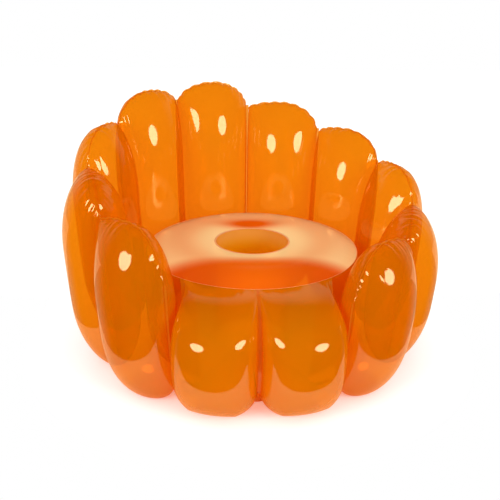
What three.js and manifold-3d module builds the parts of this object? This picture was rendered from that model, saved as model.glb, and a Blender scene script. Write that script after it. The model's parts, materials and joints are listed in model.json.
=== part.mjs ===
// Inflatable tub chair: a C-shaped wall of upright air lobes round a drum-shaped seat, all of clear PVC film.
// Millimetres, +Z up, front towards -Y. The origin is the middle of the footprint, on the floor.
import * as THREE from 'three';
import { mergeVertices } from 'three/addons/utils/BufferGeometryUtils.js';
import Module from 'manifold-3d';

const wasm = await Module();
wasm.setup();

// Film and welds
const film = 0.4;
const weldGap = 0.3;
const webWidth = 8;
const flangeWidth = 7;
const flangeShare = 0.1;
const webReach = 14;

// Wall: lobes stand side by side on a circle, each swelling to both sides of its weld plane
const lobesInCircle = 12;
const frontLobes = 2;
const wallOuterRadius = 550;
const lobeDepth = 97;
const wallHeight = 730;
const crestHeightShares = [0.684, 0.779, 0.89, 0.986, 1, 0.908, 0.819, 0.727, 0.632, 0.611];
const notchDrop = 60;
const endShoulderDrop = 150;
const bottomNotchHeight = 65;
const floorPress = 12;
const topRounding = 210;
const bottomRounding = 190;
const wallLeanShare = 0.05;
const wallLeanLevel = 300;
const wallBow = 15;
const wallBowShare = 0.7;

// Seat: a drum behind the wall's centre line, with two lobes that swell out of the wall's opening.
// It fills the circle inside the wall's inner lobes, so its radii follow the wall's.
const seatSetback = 18;
const seatFit = 11;
const seamInset = 9;
const footInset = 27;
const crownInset = 103;
const frontFootInset = 150;
const seatBulgeRadius = wallOuterRadius - 2 * lobeDepth - seatSetback - seatFit;
const seatSeamRadius = seatBulgeRadius - seamInset;
const seatFootRadius = seatBulgeRadius - footInset;
const seatCrownRadius = seatSeamRadius - crownInset;
const frontFootRadius = wallOuterRadius - frontFootInset;
const seatSeamHeight = 303;
const seatBulgeHeight = 160;
const seatCrownRise = 26;
const wellRadius = 112;
const wellLipDip = 7;
const cheekShares = [0.35, 0.7];
const shoulderPower = 2.6;
const footPower = 2.4;
const cornerRelief = 10;
const bendReliefShare = 0.3;
const seamCornerShare = 1.33;
const cheekBendRelief = 45;
const cheekBendPower = 6;
const drumStartShare = 1.55;

// Valves
const flangeRadius = 17;
const flangeThickness = 1.2;
const stemRadius = 8.7;
const stemBore = 5;
const stemLength = 24;
const stemTravel = 11;
const collarLength = 12;
const collarWall = 1.5;
const flushDrop = 0.5;
const flangeRelief = 0.5;
const plugChamfer = 0.8;
const flapThickness = 0.8;
const stopperHeadRadius = 7.6;
const stopperHeadThickness = 2;
const stopperPlugLength = 9;
const runningClearance = 0.3;
const valveLobe = 5;
const seatValveShare = 93 / 188;
const cutOverrun = 5;
const roundFacets = 16;

// Film corners lie on a grid this fine, so that neighbouring faces share the very same corner
const placeGrid = 1 / 64;

// Grid counts for the film sheets
const lobeColumns = 8;
const lobeRows = 9;
const weldRows = 6;
const crownRows = 7;
const wellRows = 2;
const valveRow = 3;
const shoulderRows = 6;
const footRows = 5;

const wallLobes = lobesInCircle - frontLobes;
const lobePitch = 2 * Math.PI / lobesInCircle;
const halfPitch = lobePitch / 2;
const halfGap = weldGap / 2;
const seatBack = new THREE.Vector2(0, seatSetback);

// Clear orange PVC film, the deeper orange of its welds, and paler moulded PVC for the valves
const filmMaterial = new THREE.MeshStandardMaterial({
  color: 0xe8720a,
  roughness: 0.12,
  metalness: 0,
  transparent: true,
  opacity: 0.85,
});
const weldMaterial = new THREE.MeshStandardMaterial({ color: 0xc85e08, roughness: 0.25, metalness: 0 });
const valveMaterial = new THREE.MeshStandardMaterial({ color: 0xf2a35a, roughness: 0.3, metalness: 0 });

const chair = new THREE.Group();

function addMesh(name, geometry, material, parent = chair) {
  const mesh = new THREE.Mesh(geometry, material);
  mesh.name = name;
  parent.add(mesh);
  return mesh;
}

// Places in plan. Azimuth runs from the front (-Y) towards +X; along is measured across the radius.
function planDirection(azimuth) {
  return new THREE.Vector2(Math.sin(azimuth), -Math.cos(azimuth));
}

function planPoint(azimuth, radius, along) {
  const out = planDirection(azimuth);
  return new THREE.Vector2(out.x * radius - out.y * along, out.y * radius + out.x * along);
}

function standPoint(azimuth, radius, along, height) {
  const plan = planPoint(azimuth, radius, along);
  return new THREE.Vector3(plan.x, plan.y, height);
}

function snap(value) {
  return Math.round(value / placeGrid) * placeGrid;
}

// A sheet of film as one closed body: a face grid, a back grid and the strips that close its edges.
// Both grids run the same way; the face looks out of the page when columns run right and rows run up.
function sheetGeometry(face, back, closedRound = false) {
  const columns = face.length;
  const rows = face[0].length;
  const positions = [];
  const indices = [];
  for (const grid of [face, back]) {
    for (const column of grid) {
      for (const point of column) {
        positions.push(snap(point.x), snap(point.y), snap(point.z));
      }
    }
  }
  const faceIndex = (i, j) => (i % columns) * rows + j;
  const backIndex = (i, j) => faceIndex(i, j) + columns * rows;
  const quad = (a, b, c, d) => indices.push(a, b, c, a, c, d);
  if (!closedRound) {
    const last = columns - 1;
    for (let j = 0; j < rows - 1; j += 1) {
      quad(backIndex(0, j), faceIndex(0, j), faceIndex(0, j + 1), backIndex(0, j + 1));
      quad(faceIndex(last, j), backIndex(last, j), backIndex(last, j + 1), faceIndex(last, j + 1));
    }
  }
  const columnSteps = closedRound ? columns : columns - 1;
  for (let i = 0; i < columnSteps; i += 1) {
    for (let j = 0; j < rows - 1; j += 1) {
      quad(faceIndex(i, j), faceIndex(i + 1, j), faceIndex(i + 1, j + 1), faceIndex(i, j + 1));
      quad(backIndex(i, j), backIndex(i, j + 1), backIndex(i + 1, j + 1), backIndex(i + 1, j));
    }
    quad(backIndex(i, 0), backIndex(i + 1, 0), faceIndex(i + 1, 0), faceIndex(i, 0));
    const top = rows - 1;
    quad(faceIndex(i, top), faceIndex(i + 1, top), backIndex(i + 1, top), backIndex(i, top));
  }
  const geometry = new THREE.BufferGeometry();
  geometry.setAttribute('position', new THREE.Float32BufferAttribute(positions, 3));
  geometry.setIndex(indices);
  geometry.computeVertexNormals();
  return geometry;
}

// A grid point's neighbours in order round it, as the diagonals of the grid's squares join them
const ringShares = [[1, 0], [1, 1], [0, 1], [-1, 0], [-1, -1], [0, -1]];

// The back grid of a sheet of even thickness, square to the mean of the faces round each point.
function offsetGrid(face, thickness, closedRound = false) {
  const columns = face.length;
  const rows = face[0].length;
  const near = (i, j) => {
    const column = closedRound ? (i + columns) % columns : THREE.MathUtils.clamp(i, 0, columns - 1);
    return face[column][THREE.MathUtils.clamp(j, 0, rows - 1)];
  };
  return face.map((column, i) => column.map((point, j) => {
    const arms = ringShares.map(([across, up]) => near(i + across, j + up).clone().sub(point));
    const normal = new THREE.Vector3();
    arms.forEach((arm, k) => normal.add(arm.clone().cross(arms[(k + 1) % arms.length]).normalize()));
    return point.clone().addScaledVector(normal.normalize(), -thickness);
  }));
}

function mirrorPoint(point) {
  return new THREE.Vector3(-point.x, point.y, point.z);
}

function mirrorGrid(grid) {
  return grid.map((column) => column.map(mirrorPoint)).reverse();
}

function range(count) {
  return Array.from({ length: count }, (_, index) => index);
}

// Wall lobes
// A lobe's weld plane bows and leans out with height, so neighbours share one line at each web.
const crestHeights = crestHeightShares.map((share) => share * wallHeight);
const weldRadius = wallOuterRadius - lobeDepth - film - halfGap;

function midRadius(height) {
  const share = height / wallHeight;
  const bow = wallBow * (4 * share * (1 - share) - wallBowShare);
  return weldRadius + wallLeanShare * (height - wallLeanLevel) + bow;
}

function lobeHalfWidth(height) {
  return midRadius(height) * Math.tan(halfPitch) - webWidth / 2;
}

function lobeAzimuth(lobe) {
  return -lobePitch * (frontLobes / 2 + 1 / 2 + lobe);
}

// Notch 0 is the free end beside the first lobe and the last notch is the free end beside the last lobe.
const notchHeights = range(wallLobes + 1).map((notch) => {
  if (notch === 0) {
    return crestHeights[0] - endShoulderDrop;
  }
  if (notch === wallLobes) {
    return crestHeights[wallLobes - 1] - endShoulderDrop;
  }
  return (crestHeights[notch - 1] + crestHeights[notch]) / 2 - notchDrop;
});

// The lobe's outline in its weld plane: a half ellipse on each side's notch, above and below.
function outlineTop(lobe, angle) {
  const notch = notchHeights[Math.sin(angle) > 0 ? lobe : lobe + 1];
  return notch + (crestHeights[lobe] - notch) * Math.cos(angle);
}

function outlineBottom(angle) {
  return bottomNotchHeight - (bottomNotchHeight + floorPress) * Math.cos(angle);
}

function swell(angle, height, top, bottom) {
  const fromTop = Math.max(0, 1 - (top - height) / topRounding);
  const fromBottom = Math.max(0, 1 - (height - bottom) / bottomRounding);
  const rounding = (1 - fromTop * fromTop) * (1 - fromBottom * fromBottom);
  return lobeDepth * Math.cos(angle) * Math.sqrt(Math.max(0, rounding));
}

// One surface of one half of a lobe. Side 1 is the outer half and -1 the inner; depth is how far the
// surface lies inside the film's face, 0 for the face itself and the film's thickness for its back.
function lobeSurface(lobe, side, depth) {
  const azimuth = lobeAzimuth(lobe);
  const standOff = halfGap + film - depth;
  return range(lobeColumns + 1).map((i) => {
    const angle = Math.PI * (i / lobeColumns - 1 / 2) * side;
    const top = outlineTop(lobe, angle) - depth;
    const bottom = outlineBottom(angle) + depth;
    const column = range(lobeRows + 1).map((j) => {
      const rise = (1 - Math.cos(Math.PI * j / lobeRows)) / 2;
      const height = bottom + rise * (top - bottom);
      const along = (lobeHalfWidth(height) - depth) * Math.sin(angle);
      const out = side * (standOff + swell(angle, height, top, bottom));
      return standPoint(azimuth, midRadius(height) + out, along, Math.max(height, depth));
    });
    const brim = outlineTop(lobe, angle) + flangeWidth * (flangeShare + (1 - flangeShare) * Math.cos(angle));
    const brimAlong = (lobeHalfWidth(top) - depth) * Math.sin(angle);
    column.push(standPoint(azimuth, midRadius(top) + side * standOff, brimAlong, brim));
    return column;
  });
}

function lobeFilm(lobe, side) {
  return sheetGeometry(lobeSurface(lobe, side, 0), lobeSurface(lobe, side, film));
}

// Welds: narrow webs where inner and outer film are fused, bent to follow both neighbours' weld planes
const filmPair = 2 * film + weldGap;

function webRadius(height) {
  return midRadius(height) / Math.cos(halfPitch);
}

function wallWeld(notch) {
  const joint = -lobePitch * (frontLobes / 2 + notch);
  const low = bottomNotchHeight - webReach;
  const high = notchHeights[notch] + webReach;
  const surface = (standOff) => {
    const heights = range(weldRows + 1).map((j) => low + (high - low) * j / weldRows);
    const left = heights.map((height) => standPoint(
      joint - halfPitch, midRadius(height) + standOff, lobeHalfWidth(height) + weldGap, height));
    const middle = heights.map((height) => standPoint(
      joint, webRadius(height) + standOff / Math.cos(halfPitch), 0, height));
    const right = heights.map((height) => standPoint(
      joint + halfPitch, midRadius(height) + standOff, -lobeHalfWidth(height) - weldGap, height));
    return [left, middle, right];
  };
  return sheetGeometry(surface(filmPair / 2), surface(-filmPair / 2));
}

// Seat skirt: one film from the top panel's seam out over the shoulder, down and under to the base panel.
// Each station has three places in plan: on the seam, at the fullest reach, and at the foot.
const frontAzimuth = lobePitch / 2;
const frontHalfWidth = lobeHalfWidth(seatBulgeHeight);
const footHalfWidth = frontFootRadius * Math.tan(halfPitch) - webWidth / 2;
const cheekStart = planPoint(frontAzimuth, midRadius(seatBulgeHeight), frontHalfWidth);
const cheekFoot = planPoint(frontAzimuth, frontFootRadius, footHalfWidth);
const cheekAzimuth = Math.atan2(cheekStart.x, seatSetback - cheekStart.y);

function seatPoint(azimuth, radius) {
  return seatBack.clone().addScaledVector(planDirection(azimuth), radius);
}

function skirtStation(azimuth, reach, foot) {
  const seam = seatPoint(azimuth, seatSeamRadius);
  return { azimuth, seam, reach, foot, bend: seam.clone().lerp(reach, 1 / 2) };
}

function drumStation(azimuth) {
  return skirtStation(azimuth, seatPoint(azimuth, seatBulgeRadius), seatPoint(azimuth, seatFootRadius));
}

// A front lobe meets the seam over a wider arc than it has at the foot. Beside it the film turns back
// along the cheek, close to the wall's end, and then round a corner onto the drum.
const seamStart = Math.asin(webWidth / 2 / seatSeamRadius);
const seamCorner = lobePitch * seamCornerShare;
const drumStart = lobePitch * drumStartShare;
const bendAzimuth = (cheekAzimuth + drumStart) / 2;

// The corner of the shoulder keeps close to the cheek, clear of the wall's end lobe.
const cheekBend = seatPoint(cheekAzimuth, seatBulgeRadius + cheekBendRelief);

const frontStations = range(lobeColumns + 1).map((i) => {
  const angle = Math.PI * (i / lobeColumns - 1 / 2);
  const share = (1 + Math.sin(angle)) / 2;
  const reachRadius = midRadius(seatBulgeHeight) + lobeDepth * Math.cos(angle);
  const station = skirtStation(
    seamStart + (seamCorner - seamStart) * share,
    planPoint(frontAzimuth, reachRadius, frontHalfWidth * Math.sin(angle)),
    planPoint(frontAzimuth, frontFootRadius, footHalfWidth * Math.sin(angle)),
  );
  station.bend.lerp(cheekBend, share ** cheekBendPower);
  return station;
});
const cornerReach = seatPoint(cheekAzimuth, seatBulgeRadius + cornerRelief);
const cornerFoot = seatPoint(cheekAzimuth, seatFootRadius);
const turnPlaces = [
  ...cheekShares.map((share) => [
    cheekStart.clone().lerp(cornerReach, share),
    cheekFoot.clone().lerp(cornerFoot, share),
  ]),
  [cornerReach, cornerFoot],
  [
    seatPoint(bendAzimuth, seatBulgeRadius + cornerRelief * bendReliefShare),
    seatPoint(bendAzimuth, seatFootRadius),
  ],
];
const turnStations = turnPlaces.map(([reach, foot], i) => skirtStation(
  seamCorner + (drumStart - seamCorner) * (i + 1) / (turnPlaces.length + 1), reach, foot));
const lobeStations = [...frontStations, ...turnStations, drumStation(drumStart)];
const drumJoint = weldGap / seatFootRadius;
const drumSteps = Math.round((2 * Math.PI - 2 * drumStart) / (lobePitch / 2));
const drumStations = range(drumSteps + 1).map((i) => drumStation(
  drumStart + drumJoint + (2 * Math.PI - 2 * (drumStart + drumJoint)) * i / drumSteps));

// A station's profile from the foot up to the seam, two quarter superellipses that meet at the fullest reach.
function stationProfile(station) {
  const low = new THREE.LineCurve(station.foot, station.reach);
  const high = new THREE.QuadraticBezierCurve(station.seam, station.bend, station.reach);
  const place = (path, share, height) => {
    const plan = path.getPoint(share);
    return new THREE.Vector3(plan.x, plan.y, height);
  };
  const foot = range(footRows).map((j) => {
    const angle = Math.PI / 2 * (1 - j / footRows);
    const out = Math.cos(angle) ** (2 / footPower);
    const drop = Math.sin(angle) ** (2 / footPower);
    return place(low, out, seatBulgeHeight * (1 - drop));
  });
  const shoulder = range(shoulderRows + 1).map((j) => {
    const angle = Math.PI / 2 * j / shoulderRows;
    const out = Math.cos(angle) ** (2 / shoulderPower);
    const rise = Math.sin(angle) ** (2 / shoulderPower);
    return place(high, out, seatBulgeHeight + (seatSeamHeight - seatBulgeHeight) * rise);
  });
  return [...foot, ...shoulder];
}

function skirtSheet(face) {
  return sheetGeometry(face, offsetGrid(face, film));
}

function mirrorSheet(geometry) {
  const mirrored = geometry.clone().scale(-1, 1, 1);
  mirrored.setIndex(Array.from(mirrored.index.array).reverse());
  mirrored.computeVertexNormals();
  return mirrored;
}

function frontWeld() {
  const edge = stationProfile(lobeStations[0]);
  const right = edge.map((point) => new THREE.Vector3(point.x - weldGap, point.y, point.z));
  const face = [right.map(mirrorPoint), right];
  return sheetGeometry(face, offsetGrid(face, filmPair));
}

// Seat top: a crowned ring that falls to the seam outside and dips to the well inside.
// Its columns stand at the skirt's own azimuths, so the two films meet along the same line.
const seatAzimuths = [
  ...lobeStations.map(({ azimuth }) => azimuth),
  ...drumStations.slice(1, -1).map(({ azimuth }) => azimuth),
  ...lobeStations.map(({ azimuth }) => 2 * Math.PI - azimuth).reverse(),
];
const lipHeight = seatSeamHeight + seatCrownRise - wellLipDip;

function crownHeight(radius) {
  if (radius > seatCrownRadius) {
    const share = (radius - seatCrownRadius) / (seatSeamRadius - seatCrownRadius);
    return seatSeamHeight + seatCrownRise * (1 - share * share);
  }
  const share = (seatCrownRadius - radius) / (seatCrownRadius - wellRadius);
  return seatSeamHeight + seatCrownRise - wellLipDip * share * share;
}

function seatTopPanel() {
  const rim = seatSeamRadius - film - weldGap;
  const face = seatAzimuths.map((azimuth) => range(crownRows + 1).map((j) => {
    const radius = rim + (wellRadius - rim) * j / crownRows;
    const plan = seatPoint(azimuth, radius);
    return new THREE.Vector3(plan.x, plan.y, crownHeight(radius));
  }));
  return sheetGeometry(face, offsetGrid(face, film, true), true);
}

// The well's tube stands on the base panel and meets the top panel's inner edge from below.
function seatWellTube() {
  const low = film + weldGap;
  const high = lipHeight - film - weldGap;
  const face = [...seatAzimuths].reverse().map((azimuth) => range(wellRows + 1).map((j) => {
    const plan = seatPoint(azimuth, wellRadius);
    return new THREE.Vector3(plan.x, plan.y, low + (high - low) * j / wellRows);
  }));
  return sheetGeometry(face, offsetGrid(face, film, true), true);
}

// The base panel lies flat inside the skirt's foot, with holes for the well and the seat's valve.
function insetLoop(points, distance) {
  return points.map((point, i) => {
    const before = points[(i + points.length - 1) % points.length];
    const after = points[(i + 1) % points.length];
    const arriving = point.clone().sub(before).normalize();
    const leaving = after.clone().sub(point).normalize();
    const inward = new THREE.Vector2(-arriving.y - leaving.y, arriving.x + leaving.x);
    return point.clone().addScaledVector(inward, distance / (1 + arriving.dot(leaving)));
  });
}

const seatValvePlace = seatPoint(Math.PI, THREE.MathUtils.lerp(wellRadius, seatFootRadius, seatValveShare));
const filmHoleRadius = stemRadius + runningClearance + film;

function basePanel() {
  const lobeFeet = lobeStations.map(({ foot }) => foot);
  const drumFeet = drumStations.slice(1, -1).map(({ foot }) => foot);
  const mirroredFeet = lobeFeet.map((foot) => new THREE.Vector2(-foot.x, foot.y)).reverse();
  const feet = [...lobeFeet, ...drumFeet, ...mirroredFeet];
  const outline = new THREE.Shape(insetLoop(feet, film + weldGap));
  const well = new THREE.Path();
  well.absarc(seatBack.x, seatBack.y, wellRadius, 0, 2 * Math.PI, true);
  const valveHole = new THREE.Path();
  valveHole.absarc(seatValvePlace.x, seatValvePlace.y, filmHoleRadius, 0, 2 * Math.PI, true);
  outline.holes.push(well, valveHole);
  return new THREE.ExtrudeGeometry(outline, { depth: film, bevelEnabled: false, curveSegments: roundFacets });
}

// Solids for cutting: a closed geometry becomes a solid with one vertex at each corner, and back
function toSolid(geometry) {
  const bare = geometry.clone();
  bare.deleteAttribute('normal');
  bare.deleteAttribute('uv');
  const merged = mergeVertices(bare);
  return new wasm.Manifold(new wasm.Mesh({
    numProp: 3,
    vertProperties: new Float32Array(merged.attributes.position.array),
    triVerts: new Uint32Array(merged.index.array),
  }));
}

function fromSolid(solid) {
  const mesh = solid.getMesh();
  const geometry = new THREE.BufferGeometry();
  const places = Float32Array.from(mesh.vertProperties, snap);
  geometry.setAttribute('position', new THREE.BufferAttribute(places, 3));
  geometry.setIndex(Array.from(mesh.triVerts));
  geometry.computeVertexNormals();
  return geometry;
}

// Valves: a flange with a collar, a stem that slides in the collar, a check flap and a stopper.
// Every profile is a radius and a height; height 0 is the film's face and up is out of the chair.
const headTop = -film - flushDrop;
const stemTop = headTop - stopperHeadThickness - runningClearance;
const stemFoot = stemTop - stemLength;
const flangeTop = -film - weldGap - flangeRelief;
const collarEnd = flangeTop - collarLength;
const stemLipTop = collarEnd - runningClearance - stemTravel;

function turned(profile) {
  const points = profile.map(([radius, height]) => new THREE.Vector2(radius, height));
  return new THREE.LatheGeometry(points, roundFacets).rotateX(Math.PI / 2);
}

function addValve(name, place, outward) {
  const valve = new THREE.Group();
  valve.position.copy(place);
  valve.quaternion.setFromUnitVectors(new THREE.Vector3(0, 0, 1), outward);
  chair.add(valve);
  const bore = stemRadius + runningClearance;
  const collarRadius = bore + collarWall;
  addMesh(`${name}_flange`, turned([
    [bore, flangeTop],
    [bore, collarEnd],
    [collarRadius, collarEnd],
    [collarRadius, flangeTop - flangeThickness],
    [flangeRadius, flangeTop - flangeThickness],
    [flangeRadius, flangeTop],
    [bore, flangeTop],
  ]), valveMaterial, valve);
  addMesh(`${name}_stem`, turned([
    [stemBore, stemFoot],
    [collarRadius, stemFoot],
    [collarRadius, stemLipTop],
    [stemRadius, stemLipTop],
    [stemRadius, stemTop],
    [stemBore, stemTop],
    [stemBore, stemFoot],
  ]), valveMaterial, valve);
  addMesh(`${name}_check_flap`, turned([
    [0, stemFoot - weldGap - flapThickness],
    [stemRadius, stemFoot - weldGap - flapThickness],
    [stemRadius, stemFoot - weldGap],
    [0, stemFoot - weldGap],
  ]), valveMaterial, valve);
  const plugRadius = stemBore - runningClearance;
  addMesh(`${name}_stopper`, turned([
    [0, stemTop - stopperPlugLength],
    [plugRadius - plugChamfer, stemTop - stopperPlugLength],
    [plugRadius, stemTop - stopperPlugLength + plugChamfer],
    [plugRadius, stemTop + runningClearance],
    [stopperHeadRadius, stemTop + runningClearance],
    [stopperHeadRadius, headTop - plugChamfer],
    [stopperHeadRadius - plugChamfer, headTop],
    [0, headTop],
  ]), valveMaterial, valve);
}

// The wall's valve sits in the middle of one panel of the rear outer film, square to it.
function wallValveSeat() {
  const face = lobeSurface(valveLobe, 1, 0);
  const left = Math.floor(lobeColumns / 2);
  const corners = [
    face[left][valveRow],
    face[left + 1][valveRow],
    face[left + 1][valveRow + 1],
    face[left][valveRow + 1],
  ];
  const place = new THREE.Vector3();
  corners.forEach((corner) => place.addScaledVector(corner, 1 / corners.length));
  const rising = corners[2].clone().sub(corners[0]);
  const outward = rising.cross(corners[3].clone().sub(corners[1])).normalize();
  return { place, outward };
}

function withValveHole(geometry, seat) {
  const cutter = new THREE.CylinderGeometry(filmHoleRadius, filmHoleRadius, 2 * cutOverrun, roundFacets);
  cutter.rotateX(Math.PI / 2);
  cutter.applyQuaternion(new THREE.Quaternion().setFromUnitVectors(new THREE.Vector3(0, 0, 1), seat.outward));
  cutter.translate(seat.place.x, seat.place.y, seat.place.z);
  return fromSolid(toSolid(geometry).subtract(toSolid(cutter)));
}

// Assembly
const wallValve = wallValveSeat();
for (const lobe of range(wallLobes)) {
  const number = String(lobe + 1).padStart(2, '0');
  const outer = lobeFilm(lobe, 1);
  const outerFilm = lobe === valveLobe ? withValveHole(outer, wallValve) : outer;
  addMesh(`wall_outer_film_${number}`, outerFilm, filmMaterial);
  addMesh(`wall_inner_film_${number}`, lobeFilm(lobe, -1), filmMaterial);
}
for (const notch of range(wallLobes + 1)) {
  const isEnd = notch === 0 || notch === wallLobes;
  const number = String(notch).padStart(2, '0');
  const endName = notch === 0 ? 'wall_end_weld_left' : 'wall_end_weld_right';
  addMesh(isEnd ? endName : `wall_weld_${number}`, wallWeld(notch), weldMaterial);
}
const leftFrontFilm = skirtSheet(mirrorGrid(lobeStations.map(stationProfile)));
addMesh('seat_front_film_right', mirrorSheet(leftFrontFilm), filmMaterial);
addMesh('seat_front_film_left', leftFrontFilm, filmMaterial);
addMesh('seat_front_weld', frontWeld(), weldMaterial);
addMesh('seat_side_film', skirtSheet(drumStations.map(stationProfile)), filmMaterial);
addMesh('seat_top_panel', seatTopPanel(), filmMaterial);
addMesh('seat_well_tube', seatWellTube(), filmMaterial);
addMesh('seat_base_panel', basePanel(), filmMaterial);
addValve('wall_valve', wallValve.place, wallValve.outward);
addValve('seat_valve', new THREE.Vector3(seatValvePlace.x, seatValvePlace.y, 0), new THREE.Vector3(0, 0, -1));

// The origin goes to the middle of the footprint.
const bounds = new THREE.Box3().setFromObject(chair);
const middle = bounds.getCenter(new THREE.Vector3());
chair.position.set(-snap(middle.x), -snap(middle.y), -snap(bounds.min.z));

export default chair;
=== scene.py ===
import json
import math

import bmesh
import bpy
import numpy as np
from mathutils import Matrix, Vector


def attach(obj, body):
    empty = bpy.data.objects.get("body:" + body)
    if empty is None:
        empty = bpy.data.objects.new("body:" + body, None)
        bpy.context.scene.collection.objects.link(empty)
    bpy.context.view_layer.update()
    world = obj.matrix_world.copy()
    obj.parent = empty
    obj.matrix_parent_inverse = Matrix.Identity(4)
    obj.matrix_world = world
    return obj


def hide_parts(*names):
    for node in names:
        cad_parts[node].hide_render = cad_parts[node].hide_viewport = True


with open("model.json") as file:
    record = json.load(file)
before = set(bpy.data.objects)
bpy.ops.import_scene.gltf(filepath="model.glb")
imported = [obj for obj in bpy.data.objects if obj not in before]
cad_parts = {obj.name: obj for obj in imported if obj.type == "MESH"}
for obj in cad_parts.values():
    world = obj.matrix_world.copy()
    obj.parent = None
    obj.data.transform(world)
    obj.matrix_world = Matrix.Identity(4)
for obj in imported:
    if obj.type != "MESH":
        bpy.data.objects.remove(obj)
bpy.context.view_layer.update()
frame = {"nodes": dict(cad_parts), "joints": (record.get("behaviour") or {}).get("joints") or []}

scene = bpy.context.scene

# Camera
# A short telephoto lens a little above the eye height of someone seated. It looks down on the chair from
# straight ahead, with hardly any roll.
MM = 0.001
RING_CENTRE = np.array([2.671875, -9.953125, 0])  # the middle of the wall's ring in the frame, in mm
CAMERA_PLACE = np.array([-117.2, -2148.4, 1136.8])  # from the ring's centre, in mm
CAMERA_ROLL = math.radians(0.95)
LENS, SENSOR = 54.7, 36

camera_forward = Vector((0.04779, 0.93057, -0.3629)).normalized()
level_right = camera_forward.cross(Vector((0, 0, 1))).normalized()
level_up = level_right.cross(camera_forward)
camera_right = level_right * math.cos(CAMERA_ROLL) + level_up * math.sin(CAMERA_ROLL)
camera_up = level_up * math.cos(CAMERA_ROLL) - level_right * math.sin(CAMERA_ROLL)
camera_turn = Matrix((camera_right, camera_up, -camera_forward)).transposed().to_4x4()
camera = bpy.data.objects.new("camera", bpy.data.cameras.new("camera"))
camera.data.lens = LENS
camera.data.sensor_width = SENSOR
camera.matrix_world = Matrix.Translation(Vector((CAMERA_PLACE + RING_CENTRE) * MM)) @ camera_turn
scene.collection.objects.link(camera)
scene.camera = camera

# Wall lobes, ten
# Each lobe is a tall blister of clear PVC film: an outer and an inner sheet, heat-welded along the edge of
# the lobe and blown up. The welded edge keeps its length while the sheets swell, so it gathers to puckers.
FILM_THICKNESS = 0.4
FILM_GLOSS = 0.085  # what both faces of a sheet of PVC, of IOR 1.53, mirror together when seen square on
MIRROR_TINT = "#ffdcac"
SCHLICK_POWER = 5
UPRIGHT_SHARE = 0.3  # a ripple's width over its height
RIPPLE_STRENGTH, RIPPLE_HEIGHT = 0.16, 1.2


def linear(hex_colour):
    """The linear colour of an sRGB hex value, with alpha 1."""
    parts = [int(hex_colour[k : k + 2], 16) / 255 for k in (1, 3, 5)]
    return [c / 12.92 if c <= 0.04045 else ((c + 0.055) / 1.055) ** 2.4 for c in parts] + [1]


def bare_tree(owner):
    """The emptied node tree of a material or of the world."""
    owner.use_nodes = True
    owner.node_tree.nodes.clear()
    return owner.node_tree


def add_node(tree, kind, settings=None, links=None):
    """A shader node with its settings, and its inputs' links from sockets or nodes' first outputs."""
    made = tree.nodes.new("ShaderNode" + kind)
    for key, value in (settings or {}).items():
        if isinstance(key, int) or key in made.inputs:
            made.inputs[key].default_value = value
        else:
            setattr(made, key, value)
    for key, source in (links or {}).items():
        output = source.outputs[0] if isinstance(source, bpy.types.Node) else source
        tree.links.new(output, made.inputs[key])
    return made


def pvc_film(
    name,
    tint,
    haze_colour,
    haze,
    roughness,
    ripple_mm,
    gloss=FILM_GLOSS,
    frost_colour=None,
    through_share=0.4,
):
    """PVC sheet: light passes through it tinted, some is scattered as haze, and both faces are glossy.

    The image in the far face passes the film twice, so the mirror image of the whole sheet is warm. Where
    the film is embossed it scatters more, in the frost's colour, by the "frost" of its points; on the
    seat's top panel that map also holds painted shade.
    """
    material = bpy.data.materials.new(name)
    tree = bare_tree(material)
    place = add_node(tree, "TexCoord").outputs["Object"]
    drawn = add_node(tree, "Mapping", {"Scale": (1, 1, UPRIGHT_SHARE)}, {"Vector": place})
    rippled = {"Scale": 1 / (ripple_mm * MM), "Detail": 2, "Roughness": 0.5}
    ripple = add_node(tree, "TexNoise", rippled, {"Vector": drawn})
    raised = {"Strength": RIPPLE_STRENGTH, "Distance": RIPPLE_HEIGHT * MM}
    bump = add_node(tree, "Bump", raised, {"Height": ripple})

    haze_links, share_link = {"Normal": bump}, {}
    if frost_colour:
        frost = add_node(tree, "Attribute", {"attribute_name": "frost"}).outputs["Fac"]
        colours = {"Color1": linear(haze_colour), "Color2": linear(frost_colour)}
        haze_links["Color"] = add_node(tree, "MixRGB", colours, {"Fac": frost})
        clouding = {"operation": "MULTIPLY_ADD", 1: 1 - haze, 2: haze}
        share_link[0] = add_node(tree, "Math", clouding, {0: frost})
    lit_side = add_node(tree, "BsdfDiffuse", {"Color": linear(haze_colour)}, haze_links)
    far_side = add_node(tree, "BsdfTranslucent", {"Color": linear(haze_colour)}, haze_links)
    scatter = add_node(tree, "MixShader", {0: through_share}, {1: lit_side, 2: far_side})
    through = add_node(tree, "BsdfTransparent", {"Color": linear(tint)})
    body = add_node(tree, "MixShader", {0: haze}, {1: through, 2: scatter, **share_link})

    polished = {"Color": linear(MIRROR_TINT), "Roughness": roughness}
    shine = add_node(tree, "BsdfGlossy", polished, {"Normal": bump})
    facing = add_node(tree, "LayerWeight", {"Blend": 0.5}, {"Normal": bump}).outputs["Facing"]
    grazing = add_node(tree, "Math", {"operation": "POWER", 1: SCHLICK_POWER}, {0: facing})
    mirror = add_node(tree, "Math", {"operation": "MULTIPLY_ADD", 1: 1 - gloss, 2: gloss}, {0: grazing})
    surface = add_node(tree, "MixShader", {}, {0: mirror, 1: body, 2: shine})
    add_node(tree, "OutputMaterial", {}, {"Surface": surface})
    return material


# Calendered film, rolled smooth between polished cylinders: it mirrors the lamps sharply, and each further
# sheet that the eye looks through turns the amber a deeper orange.
film_pvc = pvc_film(
    "clear_orange_pvc_film", tint="#ffb54e", haze_colour="#dca800", haze=0.3, roughness=0.06, ripple_mm=55
)


def grid_faces(columns, rows, closed_round=False, closed_across=False):
    """The quads of a grid whose points are stored column by column."""
    i = np.arange(columns if closed_round else columns - 1)[:, None]
    j = np.arange(rows if closed_across else rows - 1)[None]
    here, beside, above = i * rows, (i + 1) % columns * rows, (j + 1) % rows
    return np.stack([here + j, beside + j, beside + above, here + above], -1).reshape(-1, 4)


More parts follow.
